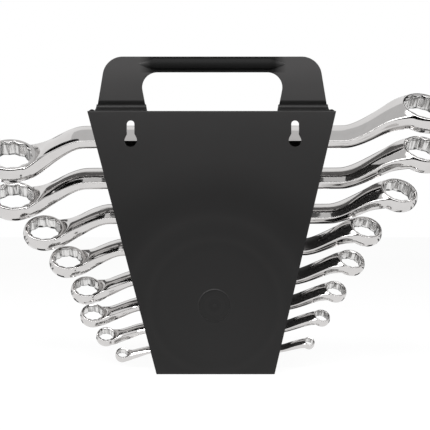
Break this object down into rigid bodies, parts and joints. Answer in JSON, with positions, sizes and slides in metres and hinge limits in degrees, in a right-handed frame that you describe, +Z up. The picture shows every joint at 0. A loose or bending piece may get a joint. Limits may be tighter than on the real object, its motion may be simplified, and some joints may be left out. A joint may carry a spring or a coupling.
{
  "type": "box end wrench set with holder",
  "caption": "Moulded carry rack with handle, keyholes and slotted side walls that holds a graded set of S-shaped double box end wrenches on edge.",
  "frame": {"origin": "on the flat back face that lies against the wall, halfway between the two places where the screws sit in the keyholes", "axes": "+X to the right as the back is seen, +Z up, -Y out of the back face towards the wall, +Y towards the open front where the wrenches go in"},
  "size_m": [0.3787, 0.0727, 0.2459],
  "materials": {
    "rack_polypropylene": "satin black moulded plastic",
    "wrench_chrome": "polished chrome plate on forged steel"
  },
  "bodies": {
    "root": {"holder": "rack_polypropylene", "wrench_1_1_4_by_1_1_8": "wrench_chrome", "wrench_1_1_16_by_1": "wrench_chrome", "wrench_15_16_by_7_8": "wrench_chrome", "wrench_13_16_by_3_4": "wrench_chrome", "wrench_11_16_by_5_8": "wrench_chrome", "wrench_9_16_by_1_2": "wrench_chrome", "wrench_7_16_by_3_8": "wrench_chrome", "wrench_5_16_by_1_4": "wrench_chrome"}
  },
  "joints": []
}
